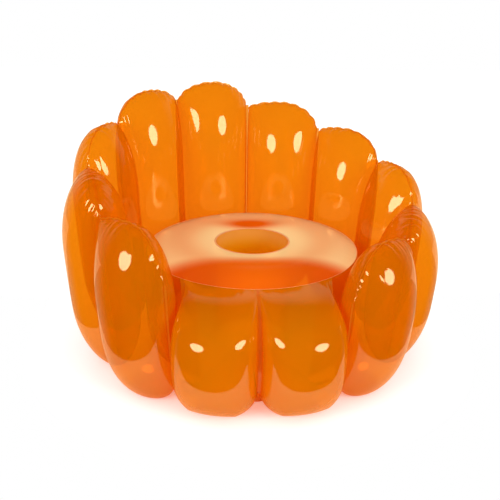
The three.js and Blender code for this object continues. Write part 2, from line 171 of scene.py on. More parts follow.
def make_piece(name, points, faces, material, body="chair"):
    """A smooth mesh object from points in mm about the ring's centre, riding on a body of the frame."""
    mesh = bpy.data.meshes.new(name)
    mesh.from_pydata(((points.reshape(-1, 3) + RING_CENTRE) * MM).tolist(), [], faces.tolist())
    mesh.validate()
    mesh.shade_smooth()
    mesh.materials.append(material)
    piece = bpy.data.objects.new(name, mesh)
    scene.collection.objects.link(piece)
    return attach(piece, body)


def weld_doubles(piece, within=0.01):
    """Joins points of a mesh within a distance in mm of each other, and turns its faces outward."""
    shape = bmesh.new()
    shape.from_mesh(piece.data)
    bmesh.ops.remove_doubles(shape, verts=shape.verts, dist=within * MM)
    bmesh.ops.recalc_face_normals(shape, faces=shape.faces)
    shape.to_mesh(piece.data)
    shape.free()


# The wall's sizes in mm: its lobes stand on a ring that leans out with height and bows in the middle
WALL_LOBES = 10
PITCH = math.radians(30)
HALF_PITCH = PITCH / 2
WALL_HEIGHT = 730
CREST_SHARES = np.array([0.684, 0.779, 0.89, 0.986, 1, 0.908, 0.819, 0.727, 0.632, 0.611])
NOTCH_DROP, END_DROP = 60, 150
BOTTOM_NOTCH, FLOOR_PRESS = 65, 12
LOBE_DEPTH = 97
TOP_ROUNDING, BOTTOM_ROUNDING = 210, 190
WELD_RADIUS, WEB_WIDTH = 452.45, 8
LEAN, LEAN_LEVEL = 0.05, 300
BOW, BOW_SHARE = 15, 0.7
LOBE_COLUMNS, LOBE_ROWS = 96, 64

crest_heights = WALL_HEIGHT * CREST_SHARES
between_heights = (crest_heights[1:] + crest_heights[:-1]) / 2 - NOTCH_DROP
notch_heights = np.concatenate(
    [[crest_heights[0] - END_DROP], between_heights, [crest_heights[-1] - END_DROP]]
)
lobe_angles = np.linspace(-math.pi / 2, math.pi / 2, LOBE_COLUMNS + 1)


def mid_radius(height):
    """The weld plane's distance from the ring's centre."""
    share = height / WALL_HEIGHT
    return WELD_RADIUS + LEAN * (height - LEAN_LEVEL) + BOW * (4 * share * (1 - share) - BOW_SHARE)


def half_width(height):
    return mid_radius(height) * math.tan(HALF_PITCH) - WEB_WIDTH / 2


def lobe_azimuth(lobe):
    """A lobe's place on the ring: azimuths are counted from the front towards +X."""
    return -PITCH * (1.5 + lobe)


def outward_at(azimuth):
    return np.array([math.sin(azimuth), -math.cos(azimuth), 0])


def stand(azimuth, radius, along, height):
    """Points in mm from an azimuth, a radius, a distance across the radius, and a height."""
    out_x, out_y, _ = outward_at(azimuth)
    return np.stack(
        np.broadcast_arrays(out_x * radius - out_y * along, out_y * radius + out_x * along, height), -1
    )


def unit(vectors):
    return vectors / np.maximum(np.linalg.norm(vectors, axis=-1, keepdims=True), 1e-9)


def smooth_step(value):
    held = np.clip(value, 0, 1)
    return held * held * (3 - 2 * held)


def gathers(run, spacing, seed):
    """Puckers along a welded edge: round bulges with sharp pinches, unevenly spaced, mean about zero."""
    drift = 0.22 * np.sin(run / (spacing * 1.7) + seed) + 0.16 * np.sin(run / (spacing * 0.9) + 2.1 * seed)
    return np.abs(np.sin(math.pi * (run / spacing + drift))) - 0.64


def fading(distance, start, reach):
    """How strong a pucker is at a distance from its weld: nothing on it, full past start, then less."""
    return np.exp(-distance / reach) * smooth_step(distance / start)


def grid_normals(grid):
    return unit(np.cross(np.gradient(grid, axis=0), np.gradient(grid, axis=1)))


def run_along(edge):
    """The length of an edge up to each of its points."""
    return np.concatenate([[0], np.cumsum(np.linalg.norm(np.diff(edge, axis=0), axis=1))])


def up_from_edge(edge, outward):
    """The direction square to an edge in the plane of its weld, up in the middle of the lobe."""
    square = np.cross(np.gradient(edge, axis=0), outward)
    return unit(square) * np.sign(square[len(edge) // 2, 2])


# Puckers, in mm: a large one at the edge and two small ones further in, for each gather of the edge, and a
# fine crimp beside the upright welds, strongest where the film has to turn
SEAM_SPACING = 36
PUCKER_HEIGHT, PUCKER_REACH = 3.8, 30
SMALL_PUCKER_HEIGHT, SMALL_PUCKER_PLACE, SMALL_PUCKER_REACH, SMALL_PUCKER_SHIFT = 1.5, 26, 24, 9
PUSH_TURN = 22
CRIMP_HEIGHT, CRIMP_SPACING, CRIMP_START, CRIMP_REACH = 1.9, 19, 6, 20
CRIMP_SLANT, CRIMP_SHARE = 0.35, 0.25
NOTCH_TURN, NOTCH_TURN_REACH = 30, 70
FLOOR_TURN, FLOOR_TURN_REACH = 75, 45
FLOOR_CONTACT, FLOOR_FADE = 2, 25


def lobe_half(lobe, side):
    """One sheet of a lobe with its puckers, as a grid of points; side is 1 outside and -1 inside."""
    slant, lift = np.sin(lobe_angles)[:, None], np.cos(lobe_angles)[:, None]
    notch = np.where(slant > 0, notch_heights[lobe], notch_heights[lobe + 1])
    top = notch + (crest_heights[lobe] - notch) * lift
    bottom = BOTTOM_NOTCH - (BOTTOM_NOTCH + FLOOR_PRESS) * lift
    rise = (1 - np.cos(np.linspace(0, math.pi, LOBE_ROWS + 1)))[None] / 2
    height = bottom + rise * (top - bottom)
    along = half_width(height) * slant
    near_top = np.maximum(0, 1 - (top - height) / TOP_ROUNDING)
    near_bottom = np.maximum(0, 1 - (height - bottom) / BOTTOM_ROUNDING)
    rounding = np.maximum(0, (1 - near_top**2) * (1 - near_bottom**2))
    swell = LOBE_DEPTH * lift * np.sqrt(rounding)
    grid = stand(lobe_azimuth(lobe), mid_radius(height) + side * swell, along, height)

    # At the edge the puckers push in the weld's plane, and further in square to the film.
    edge, outward = grid[:, -1], outward_at(lobe_azimuth(lobe))
    normals = grid_normals(grid)
    film_way = normals * side * np.sign(normals[LOBE_COLUMNS // 2, LOBE_ROWS // 2] @ outward)
    from_edge = np.sqrt((top - height) ** 2 + swell**2)
    turn = smooth_step(from_edge / PUSH_TURN)[..., None]
    push = unit(up_from_edge(edge, outward)[:, None] * (1 - turn) + film_way * turn)
    run = run_along(edge)[:, None]
    large = PUCKER_HEIGHT * gathers(run, SEAM_SPACING, lobe * 1.3) * np.exp(-from_edge / PUCKER_REACH)
    small = SMALL_PUCKER_HEIGHT * gathers(run + SMALL_PUCKER_SHIFT * side, SEAM_SPACING / 2, lobe + side)
    small = small * np.exp(-(((from_edge - SMALL_PUCKER_PLACE) / SMALL_PUCKER_REACH) ** 2))

    # Beside the upright welds the film gathers where it has to turn: at the notch and near the floor.
    from_weld = np.sqrt((half_width(height) - np.abs(along)) ** 2 + swell**2)
    turning = np.exp(-np.abs(notch - NOTCH_TURN - height) / NOTCH_TURN_REACH)
    turning = turning + np.exp(-np.abs(height - FLOOR_TURN) / FLOOR_TURN_REACH)
    seed = lobe * 0.7 + side + np.sign(slant)
    crimp = CRIMP_HEIGHT * gathers(height + CRIMP_SLANT * from_weld, CRIMP_SPACING, seed)
    crimp = crimp * (CRIMP_SHARE + np.minimum(turning, 1)) * fading(from_weld, CRIMP_START, CRIMP_REACH)

    off_floor = smooth_step((height - FLOOR_CONTACT) / FLOOR_FADE)
    grid = grid + push * ((large + small + crimp) * off_floor)[..., None]
    grid[..., 2] = np.maximum(grid[..., 2], 0)
    return grid


# The wall's valve is welded into the outer sheet of one rear lobe, which is pressed flat round it
VALVE_LOBE = 5
VALVE_HOLE, HOLE_SIDES = 9.4, 40
STEM_TOP = -3.2
FLAT_RADIUS, FLAT_FADE, FLAT_DEPTH = 20, 26, 40
CUT_RADIUS, CUT_DEPTH = 30, 4


def valve_seat(valve):
    """Where a valve's axis meets its film, and which way it points, from its stem in the frame."""
    axis = next(np.array(j["axis"]) for j in frame["joints"] if j["name"] == f"{valve}_stem_pop")
    axis = unit(axis)
    corners = frame["nodes"][f"{valve}_valve_stem"].data.vertices
    corners = np.array([corner.co for corner in corners]) / MM - RING_CENTRE
    level = corners @ axis
    head = np.unique(corners[level > level.max() - 0.1].round(3), axis=0)
    return head.mean(0) - STEM_TOP * axis, axis


def flattened(grid, place, axis):
    """The sheet pressed flat round a welded valve, and smooth again a little way off."""
    offset = grid - place
    height = offset @ axis
    across = np.linalg.norm(offset - height[..., None] * axis, axis=-1)
    press = (1 - smooth_step((across - FLAT_RADIUS) / FLAT_FADE)) * (np.abs(height) < FLAT_DEPTH)
    return grid - (height * press)[..., None] * axis


def cut_valve_hole(piece, place, axis):
    """Cuts a round hole into the flat part of a sheet, by a plane along each side of a polygon."""
    centre, axis = Vector((place + RING_CENTRE) * MM), Vector(axis)
    first = axis.orthogonal().normalized()
    second = axis.cross(first)
    shape = bmesh.new()
    shape.from_mesh(piece.data)

    def faces_within(radius):
        gaps = [(face, face.calc_center_median() - centre) for face in shape.faces]
        return [f for f, gap in gaps if abs(gap.dot(axis)) < CUT_DEPTH * MM and gap.length < radius * MM]

    for k in range(HOLE_SIDES):
        turn = 2 * math.pi * k / HOLE_SIDES
        way = first * math.cos(turn) + second * math.sin(turn)
        side = centre + way * (VALVE_HOLE * MM * math.cos(math.pi / HOLE_SIDES))
        faces = faces_within(CUT_RADIUS)
        parts = faces + [e for f in faces for e in f.edges] + [v for f in faces for v in f.verts]
        parts = list(dict.fromkeys(parts))
        bmesh.ops.bisect_plane(shape, geom=parts, dist=1e-7, plane_co=side, plane_no=way)
    bmesh.ops.delete(shape, geom=faces_within(VALVE_HOLE), context="FACES")
    shape.to_mesh(piece.data)
    shape.free()


wall_valve_place, wall_valve_axis = valve_seat("wall")
lobe_seams = []
for lobe in range(WALL_LOBES):
    halves = [lobe_half(lobe, side) for side in (1, -1)]
    if lobe == VALVE_LOBE:
        sheet_middle = wall_valve_place - FILM_THICKNESS / 2 * wall_valve_axis
        halves[0] = flattened(halves[0], sheet_middle, wall_valve_axis)
    shared = (halves[0] + halves[1]) / 2
    for half in halves:
        for border in (np.s_[0, :], np.s_[-1, :], np.s_[:, 0], np.s_[:, -1]):
            half[border] = shared[border]
    lobe_seams.append(shared[:, -1])
    quads = grid_faces(LOBE_COLUMNS + 1, LOBE_ROWS + 1)
    points = np.concatenate([half.reshape(-1, 3) for half in halves])
    faces = np.concatenate([quads, quads[:, ::-1] + halves[0].size // 3])
    blister = make_piece(f"wall_lobe_{lobe + 1:02d}", points, faces, film_pvc)
    weld_doubles(blister)
    if lobe == VALVE_LOBE:
        cut_valve_hole(blister, wall_valve_place, wall_valve_axis)
    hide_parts(f"wall_outer_film_{lobe + 1:02d}", f"wall_inner_film_{lobe + 1:02d}")

# Upright welds between the lobes, and the two ends of the wall
# Where two lobes meet, the sheets are fused to one narrow web, which the heated bars leave crimped. At the
# free ends the web is only half as wide and ends in a raw edge with a deeper wave.
WEB_ROWS, WEB_OVERRUN, WEB_LAP = 160, 14, 0.6
WEB_WAVE, WEB_SPACING = 0.8, 21
END_LIP, END_WAVE, END_SPACING = 3, 2.2, 11

# Heat-welded PVC: two sheets melted to one, so it is darker and duller than the film, with a fine ripple.
weld_pvc = pvc_film(
    "heat_welded_pvc",
    tint="#f8a03c",
    haze_colour="#e09a20",
    haze=0.4,
    roughness=0.16,
    ripple_mm=12,
    gloss=0.06,
)


def ribbon(name, left, middle, right, material):
    """A strip of fused film through three rows of points in mm."""
    return make_piece(name, np.stack([left, middle, right]), grid_faces(3, len(left)), material)


for notch in range(WALL_LOBES + 1):
    joint = -PITCH * (1 + notch)
    height = np.linspace(BOTTOM_NOTCH - WEB_OVERRUN, notch_heights[notch] + WEB_OVERRUN, WEB_ROWS)
    radius, reach = mid_radius(height), half_width(height) - WEB_LAP
    left = stand(joint - HALF_PITCH, radius, reach, height)
    right = stand(joint + HALF_PITCH, radius, -reach, height)
    wave = WEB_WAVE * gathers(height, WEB_SPACING, notch)
    middle = stand(joint, (radius + wave) / math.cos(HALF_PITCH), 0, height)
    node = f"wall_weld_{notch:02d}"
    if notch in (0, WALL_LOBES):
        side = 1 if notch == 0 else -1
        wave = END_WAVE * gathers(height, END_SPACING, notch * 1.9)
        raw_edge = stand(joint, (radius + wave) / math.cos(HALF_PITCH), side * (END_LIP + wave), height)
        left, right = (left, raw_edge) if notch == 0 else (raw_edge, right)
        middle = (left + right) / 2
        node = "wall_end_weld_left" if notch == 0 else "wall_end_weld_right"
    web = ribbon(node + "_web", left, middle, right, weld_pvc)
    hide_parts(node)

# Rim weld over the top of each lobe
# The two sheets run on past the weld as a thin raw edge. It stands up round each rounded top, and the
# gathers in the film make it wave.
RIM_BREADTH, RIM_END_SHARE, RIM_ROOT = 4.5, 0.25, 1.5
RIM_WAVE, RIM_SPACING, RIM_SWAY = 0.6, 11, 1.4

for lobe, seam in enumerate(lobe_seams):
    outward = outward_at(lobe_azimuth(lobe))
    upward = up_from_edge(seam, outward)
    run = run_along(seam)
    breadth = RIM_BREADTH * (RIM_END_SHARE + (1 - RIM_END_SHARE) * np.cos(lobe_angles))
    breadth = breadth + RIM_WAVE * gathers(run, RIM_SPACING, lobe)
    sway = RIM_SWAY * gathers(run, SEAM_SPACING, lobe * 1.3 + 0.8)
    brim = seam + upward * breadth[:, None] + outward * sway[:, None]
    root = seam - upward * RIM_ROOT
    rim = ribbon(f"wall_rim_weld_{lobe + 1:02d}", root, (seam + brim) / 2, brim, weld_pvc)

# Seat: the skirt, in three sheets
# One band of film runs from the round seam on top out over a full shoulder and down to the floor. In
# front it is cut as two lobes, which swell out of the wall's opening; round the back it is a plain drum.
SEAT_BACK = 18  # how far the seat's axis stands behind the ring's centre
SEAM_RADIUS, SEAM_HEIGHT = 318, 303
BULGE_RADIUS, BULGE_HEIGHT = 327, 160
FOOT_RADIUS, FRONT_FOOT_RADIUS = 300, 400
FRONT_SHOULDER_POWER, SHOULDER_POWER, FOOT_POWER = 3.3, 2.6, 2.4  # 2 is round, and more is squarer
FRONT_NOTCH = 58
SEAM_CORNER, DRUM_START, DRUM_LEAD = PITCH * 1.33, PITCH * 1.55, 0.13
CHEEK_SWELL, CORNER_SWELL, BEND_SWELL = 45, 10, 3
CHEEK_POWER, BEND_RATE, LIFT_RATE, SQUARE_RATE = 6, 4, 2.5, 2
TURN_COLUMNS, DRUM_COLUMNS = 48, 132
SHOULDER_ROWS, FOOT_ROWS = 56, 26
SKIRT_PUCKER, SKIRT_SPACING, SKIRT_START, SKIRT_REACH = 0.7, 31, 8, 24
FRONT_CRIMP, FRONT_SPACING, FRONT_START, FRONT_REACH = 0.7, 17, 5, 18
MIRROR_X = np.array([-1, 1, 1])

# Thicker calendered film, where legs rub on it: as glossy as the wall's, but a little milkier.
skirt_pvc = pvc_film(
    "thicker_orange_pvc_film", tint="#ffb54c", haze_colour="#e0a400", haze=0.4, roughness=0.06, ripple_mm=45
)


def seat_plan(azimuth, radius):
    """Places on plan, from an azimuth and a radius about the seat's axis."""
    return np.stack([np.sin(azimuth) * radius, SEAT_BACK - np.cos(azimuth) * radius], -1)


def lobe_plan(radius, along):
    return stand(HALF_PITCH, radius, along, 0)[..., :2]


def at_height(plan, height):
    return np.concatenate([plan, np.broadcast_to(height, plan.shape[:-1])[..., None]], -1)


def mix(a, b, share):
    return a + (b - a) * np.asarray(share)[..., None]


def spline(points, count):
    """Catmull-Rom through points[1] to points[-2], with the first and last as their neighbours."""
    points = np.asarray(points, float)
    steps = len(points) - 3
    place = np.linspace(0, steps, count)
    k = np.minimum(place.astype(int), steps - 1)
    t = (place - k)[:, None]
    a, b, c, d = points[k], points[k + 1], points[k + 2], points[k + 3]
    return 0.5 * (2 * b + (c - a) * t + (2 * a - 5 * b + 4 * c - d) * t**2 + (3 * b - a - 3 * c + d) * t**3)


# A front lobe: where its seam, widest part and foot run on plan, and where its shoulder bends between
front_width = half_width(BULGE_HEIGHT)
foot_width = FRONT_FOOT_RADIUS * math.tan(HALF_PITCH) - WEB_WIDTH / 2
cheek_reach = lobe_plan(mid_radius(BULGE_HEIGHT), front_width)
cheek_foot = lobe_plan(FRONT_FOOT_RADIUS, foot_width)
cheek_azimuth = math.atan2(cheek_reach[0], SEAT_BACK - cheek_reach[1])
cheek_bend = seat_plan(cheek_azimuth, BULGE_RADIUS + CHEEK_SWELL)
seam_start = math.asin(WEB_WIDTH / 2 / SEAM_RADIUS)
share = (1 + np.sin(lobe_angles)) / 2
front_seam = seat_plan(seam_start + (SEAM_CORNER - seam_start) * share, SEAM_RADIUS)
front_swell = mid_radius(BULGE_HEIGHT) + LOBE_DEPTH * np.cos(lobe_angles)
front_reach = lobe_plan(front_swell, front_width * np.sin(lobe_angles))
front_foot = lobe_plan(FRONT_FOOT_RADIUS, foot_width * np.sin(lobe_angles))
front_bend = mix((front_seam + front_reach) / 2, cheek_bend, share**CHEEK_POWER)

# The turn from the lobe's cheek to the drum, and the drum
corner_reach = seat_plan(cheek_azimuth, BULGE_RADIUS + CORNER_SWELL)
corner_foot = seat_plan(cheek_azimuth, FOOT_RADIUS)
turn_places = [(front_reach[-2], front_foot[-2])]
for step in (0, 0.35, 0.7, 1):
    turn_places.append((mix(cheek_reach, corner_reach, step), mix(cheek_foot, corner_foot, step)))
bend_azimuth = (cheek_azimuth + DRUM_START) / 2
for azimuth, swell in ((bend_azimuth, BEND_SWELL), (DRUM_START, 0), (DRUM_START + DRUM_LEAD, 0)):
    turn_places.append((seat_plan(azimuth, BULGE_RADIUS + swell), seat_plan(azimuth, FOOT_RADIUS)))
turn_reach, turn_foot = (spline(places, TURN_COLUMNS + 1) for places in zip(*turn_places))
turn_share = np.linspace(0, 1, TURN_COLUMNS + 1)
turn_seam = seat_plan(SEAM_CORNER + (DRUM_START - SEAM_CORNER) * turn_share, SEAM_RADIUS)
turn_bend = mix(cheek_bend, (turn_seam + turn_reach) / 2, smooth_step(turn_share * BEND_RATE))
drum_azimuth = np.linspace(DRUM_START, 2 * math.pi - DRUM_START, DRUM_COLUMNS + 1)
drum_seam, drum_reach, drum_foot = (
    seat_plan(drum_azimuth, radius) for radius in (SEAM_RADIUS, BULGE_RADIUS, FOOT_RADIUS)
)


def skirt_grid(seam, bend, reach, foot, power, lift):
    """The skirt's sheet, one column for each station and rows from the floor up to the seam.

    Power is how square the shoulder is, and lift how high the foot stands above the floor, at each station.
    """
    power, lift = (np.broadcast_to(values, len(seam))[:, None] for values in (power, lift))
    seam, bend, reach, foot = seam[:, None], bend[:, None], reach[:, None], foot[:, None]
    turn = np.linspace(math.pi / 2, 0, FOOT_ROWS, endpoint=False)[None]
    out, drop = np.cos(turn) ** (2 / FOOT_POWER), np.sin(turn) ** (2 / FOOT_POWER)
    low = at_height(mix(foot, reach, out), lift + (BULGE_HEIGHT - lift) * (1 - drop))
    turn = np.linspace(0, math.pi / 2, SHOULDER_ROWS + 1)[None]
    out, rise = np.cos(turn) ** (2 / power), np.sin(turn) ** (2 / power)
    over = mix(mix(seam, bend, out), mix(bend, reach, out), out)
    high = at_height(over, BULGE_HEIGHT + (SEAM_HEIGHT - BULGE_HEIGHT) * rise)
    return np.concatenate([low, high], 1)


def gathered_skirt(grid, seed, welded=False):
    """The sheet with puckers below its seam, and beside its first column where that is an upright weld."""
    steps = np.linalg.norm(np.diff(grid, axis=1), axis=-1)
    from_seam = np.concatenate([np.cumsum(steps[:, ::-1], axis=1)[:, ::-1], np.zeros((len(grid), 1))], 1)
    pucker = SKIRT_PUCKER * gathers(run_along(grid[:, -1])[:, None], SKIRT_SPACING, seed)
    pucker = pucker * fading(from_seam, SKIRT_START, SKIRT_REACH)
    if welded:
        steps = np.linalg.norm(np.diff(grid, axis=0), axis=-1)
        from_weld = np.concatenate([np.zeros((1, grid.shape[1])), np.cumsum(steps, axis=0)])
        crimp = FRONT_CRIMP * gathers(grid[..., 2] + CRIMP_SLANT * from_weld, FRONT_SPACING, seed)
        pucker = pucker + crimp * fading(from_weld, FRONT_START, FRONT_REACH)
    return grid + grid_normals(grid) * (pucker * smooth_step(grid[..., 2] / FLOOR_FADE))[..., None]


front_lift = np.maximum(FRONT_NOTCH - (FRONT_NOTCH + FLOOR_PRESS) * np.cos(lobe_angles), 0)
turn_lift = FRONT_NOTCH * (1 - smooth_step(turn_share * LIFT_RATE))
squarer = smooth_step(SQUARE_RATE * np.cos(lobe_angles))
front_power = SHOULDER_POWER + (FRONT_SHOULDER_POWER - SHOULDER_POWER) * squarer
turn_power = np.full(TURN_COLUMNS + 1, SHOULDER_POWER)
lobe_grid = skirt_grid(
    *(
        np.concatenate([front, turn[1:]])
        for front, turn in (
            (front_seam, turn_seam),
            (front_bend, turn_bend),
            (front_reach, turn_reach),
            (front_foot, turn_foot),
            (front_power, turn_power),
            (front_lift, turn_lift),
        )
    )
)
drum_grid = skirt_grid(drum_seam, (drum_seam + drum_reach) / 2, drum_reach, drum_foot, SHOULDER_POWER, 0)
right_lobe = gathered_skirt(lobe_grid, seed=1.7, welded=True)
left_lobe = (gathered_skirt(lobe_grid, seed=4.4, welded=True) * MIRROR_X)[::-1]
drum = gathered_skirt(drum_grid, seed=2.9)
drum[0], drum[-1] = right_lobe[-1], left_lobe[0]
for part, grid in (("front_{}_right", right_lobe), ("front_{}_left", left_lobe), ("side_{}", drum)):
    name = "seat_" + part
    panel = make_piece(name.format("panel"), grid, grid_faces(*grid.shape[:2]), skirt_pvc)
    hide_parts(name.format("film"))

# Seat: the weld between the two front lobes
# The front lobes meet in an upright heat weld of the same fused film as the wall's, which the heated bars
# leave crimped along its whole height.
FRONT_WEB_OUT, FRONT_WEB_WAVE, FRONT_WEB_SPACING = 0.5, 0.6, 14

edge = right_lobe[0]
ridge = edge * np.array([0, 1, 1])
ridge[:, 1] += FRONT_WEB_WAVE * gathers(edge[:, 2], FRONT_WEB_SPACING, 3.3) - FRONT_WEB_OUT
front_weld = ribbon("seat_front_weld_web", edge * MIRROR_X, ridge, edge, weld_pvc)
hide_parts("seat_front_weld")

# Seat: top panel
# A ring of embossed film that the air crowns. It falls to the round seam outside, dips to the well inside,
# and is welded to both.
CROWN_RADIUS, CROWN_RISE = 215, 26
WELL_RADIUS, LIP_DIP = 112, 7
RING_COLUMNS, CROWN_ROWS = 240, 44
TOP_PUCKER, TOP_SPACING, TOP_START, TOP_REACH = 1.1, 27, 5, 16

# Embossed film: the grain rolled into it makes it milky and spreads the mirror image of the lamps to a wide
# soft sheen. Where its frost is cleared as painted shade, it is clear and a deep red orange.
seat_pvc = pvc_film(
    "embossed_orange_pvc_film",
    tint="#ffb84c",
    haze_colour="#ff8000",
    haze=0.4,
    roughness=0.22,
    ripple_mm=40,
    gloss=0.05,
    frost_colour="#fffab4",
    through_share=0.1,
)

ring = np.linspace(0, 2 * math.pi, RING_COLUMNS, endpoint=False)[:, None]
radius = np.linspace(SEAM_RADIUS, WELL_RADIUS, CROWN_ROWS + 1)[None]
outside = (radius - CROWN_RADIUS) / (SEAM_RADIUS - CROWN_RADIUS)
inside = (CROWN_RADIUS - radius) / (CROWN_RADIUS - WELL_RADIUS)
rise = np.where(outside > 0, CROWN_RISE * (1 - outside**2), CROWN_RISE - LIP_DIP * inside**2)
pucker = TOP_PUCKER * gathers(ring * SEAM_RADIUS, TOP_SPACING, 0.6)
pucker = pucker * fading(SEAM_RADIUS - radius, TOP_START, TOP_REACH)
top_grid = at_height(seat_plan(ring, radius), SEAM_HEIGHT + rise + pucker)


def set_frost(piece, shares):
    """How milky the film is at each point of the piece, for its material to read."""
    frost = piece.data.attributes.new("frost", "FLOAT", "POINT")
    frost.data.foreach_set("value", shares.ravel())


# The emboss is even and a little weaker along the crown. Its frost is also cleared in front of the well, up
# to a line that bows forward in the middle, and in a patch behind it: painted shade on the slopes that face
# forward.
FROST = 0.82
FRONT_SHADE_EDGE, FRONT_SHADE_BOW, FRONT_SHADE_FADE = 206, 0.0004, 80
SHADE_PATCH_PLACE, SHADE_PATCH_WIDE, SHADE_PATCH_DEEP, SHADE_PATCH_STRENGTH = 146, 84, 34, 1.3
CROWN_CLEARING, CROWN_CLEARING_REACH = 0.3, 55

top_x, top_back = top_grid[..., 0], top_grid[..., 1] - SEAT_BACK
# Painted shade: masks of the forward-facing slopes, in front of the well and in a patch behind it, where
# the frost is cleared
outside_front_shade = smooth_step((top_back + FRONT_SHADE_EDGE + FRONT_SHADE_BOW * top_x**2) / FRONT_SHADE_FADE)
shade_patch = np.exp(-((top_x / SHADE_PATCH_WIDE) ** 2) - ((top_back - SHADE_PATCH_PLACE) / SHADE_PATCH_DEEP) ** 2)
# The frost is made less milky along the crown
from_crown = (np.hypot(top_x, top_back) - CROWN_RADIUS) / CROWN_CLEARING_REACH
crown_cleared = 1 - CROWN_CLEARING * np.exp(-(from_crown**2))
top_panel = make_piece(
    "seat_top_ring", top_grid, grid_faces(*top_grid.shape[:2], closed_round=True), seat_pvc
)
set_frost(top_panel, FROST * crown_cleared * outside_front_shade * (1 - np.minimum(shade_patch * SHADE_PATCH_STRENGTH, 1)))
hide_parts("seat_top_panel")

# Seat: well
# A straight tube of film, welded to the top panel's lip and to the base, which ties the two together and
# keeps the seat from swelling to a ball.
TUBE_ROWS, TUBE_FOOT = 40, 0.6
TUBE_WAVE, TUBE_WAVES = 0.5, 9
TUBE_FROST, TUBE_FROST_DEPTH, TUBE_FROST_FADE = 0.75, 70, 60

# Embossed film pulled taut: clear, glossy and golden; its frost makes it milky in a band below the lip.
well_pvc = pvc_film(
    "stretched_orange_pvc_film",
    tint="#ffb54c",
    haze_colour="#ffda00",
    haze=0.6,
    roughness=0.1,
    ripple_mm=40,
    frost_colour="#e8b860",
    through_share=0.2,
)

lip_height = SEAM_HEIGHT + CROWN_RISE - LIP_DIP
height = np.linspace(lip_height, TUBE_FOOT, TUBE_ROWS)[None]
slack = TUBE_WAVE * np.sin(TUBE_WAVES * ring + 1) * np.sin(math.pi * height / lip_height)
tube_grid = at_height(seat_plan(ring, WELL_RADIUS + slack), height)
tube = make_piece("seat_well", tube_grid, grid_faces(*tube_grid.shape[:2], closed_round=True), well_pvc)
above = tube_grid[..., 2] - (lip_height - TUBE_FROST_DEPTH)
set_frost(tube, TUBE_FROST * smooth_step(above / TUBE_FROST_FADE))
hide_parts("seat_well_tube")

# Seat: base
# A flat ring of the same film as the wall's, on the floor, welded to the skirt's foot outside and to the
# well inside, with a hole for the seat's valve.
BASE_HEIGHT, BASE_ROWS = 0.5, 9

seat_valve_place, seat_valve_axis = valve_seat("seat")
foot = np.concatenate([right_lobe[:, 0], drum[1:-1, 0], left_lobe[:, 0]])
inner = seat_plan(np.arctan2(foot[:, 0], SEAT_BACK - foot[:, 1]), WELL_RADIUS)
base_plan = mix(foot[:, None, :2], inner[:, None], np.linspace(0, 1, BASE_ROWS)[None])
base_grid = at_height(base_plan, BASE_HEIGHT)
base_grid[:, 0, 2] = np.maximum(foot[:, 2], BASE_HEIGHT)
quads = grid_faces(*base_grid.shape[:2], closed_round=True)
base = make_piece("seat_base_ring", base_grid, quads, film_pvc)
cut_valve_hole(base, seat_valve_place - BASE_HEIGHT * seat_valve_axis, seat_valve_axis)
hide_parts("seat_base_panel")

# Seat: the two round seams
# The edge of the top panel is folded with the skirt's, and its lip with the well's, and each fold is welded
# to a low bead, which waves with the gathers. The outer one is drawn thin in front, where it is stretched.
BEAD_SIDES, BEAD_SWAY, BEAD_HEAVE_SHARE = 8, 0.5, 0.6
BEAD_THIN_RATE = 1.6

# Folded seam: four layers scatter most of the light, so it shows as a pale, rounded, half matt line.
bead_pvc = pvc_film(
    "folded_seam_pvc",
    tint="#ffc060",
    haze_colour="#ffd494",
    haze=0.8,
    roughness=0.25,
    ripple_mm=8,
    gloss=0.06,
)


def bead(name, ring_radius, ring_height, wide, tall, spacing, thinner):
    """A bead round the seat: half its width and height, the spacing of its waves, and its loss in front."""
    around = np.linspace(0, 2 * math.pi, BEAD_SIDES, endpoint=False)[None]
    wave = BEAD_SWAY * gathers(ring * ring_radius, spacing, 1.1)
    share = 1 - thinner * smooth_step(BEAD_THIN_RATE * np.cos(ring))
    plan = seat_plan(ring, ring_radius + wave + wide * share * np.cos(around))
    grid = at_height(plan, ring_height + wave * BEAD_HEAVE_SHARE + tall * share * np.sin(around))
    quads = grid_faces(RING_COLUMNS, BEAD_SIDES, closed_round=True, closed_across=True)
    make_piece(name, grid, quads, bead_pvc)


bead("seat_top_seam", SEAM_RADIUS, SEAM_HEIGHT, wide=1.8, tall=1.3, spacing=24, thinner=0.75)
bead("seat_well_seam", WELL_RADIUS, lip_height, wide=2.8, tall=1.6, spacing=30, thinner=0)

# Wall valve and seat valve
# Each air chamber fills through a moulded valve of softer, paler PVC: a flange with a collar, welded to the
# inside of the film; a stem, pushed in flush after filling; a check flap at its inner end; a stopper.
COLLAR_BORE, COLLAR_RADIUS, COLLAR_END = 9.0, 10.5, -13.2
FLANGE_RADIUS, FLANGE_FACE, FLANGE_BACK = 17.0, -0.7, -2.2
FACE_STEP = -0.9
STEM_BORE, STEM_RADIUS, STEM_END, STEM_BEAD = 5.0, 8.7, -27.2, -24.6
PLUG_RADIUS, PLUG_END, HEAD_RADIUS, HEAD_BACK = 4.7, -12.2, 7.6, -2.9
FLAP_RADIUS, FLAP_FACE = 8.7, -27.5
VALVE_FACETS = 72
EDGE_ROUNDING = 0.25
MOTTLE, MOTTLE_DEPTH = 2.5, 0.2

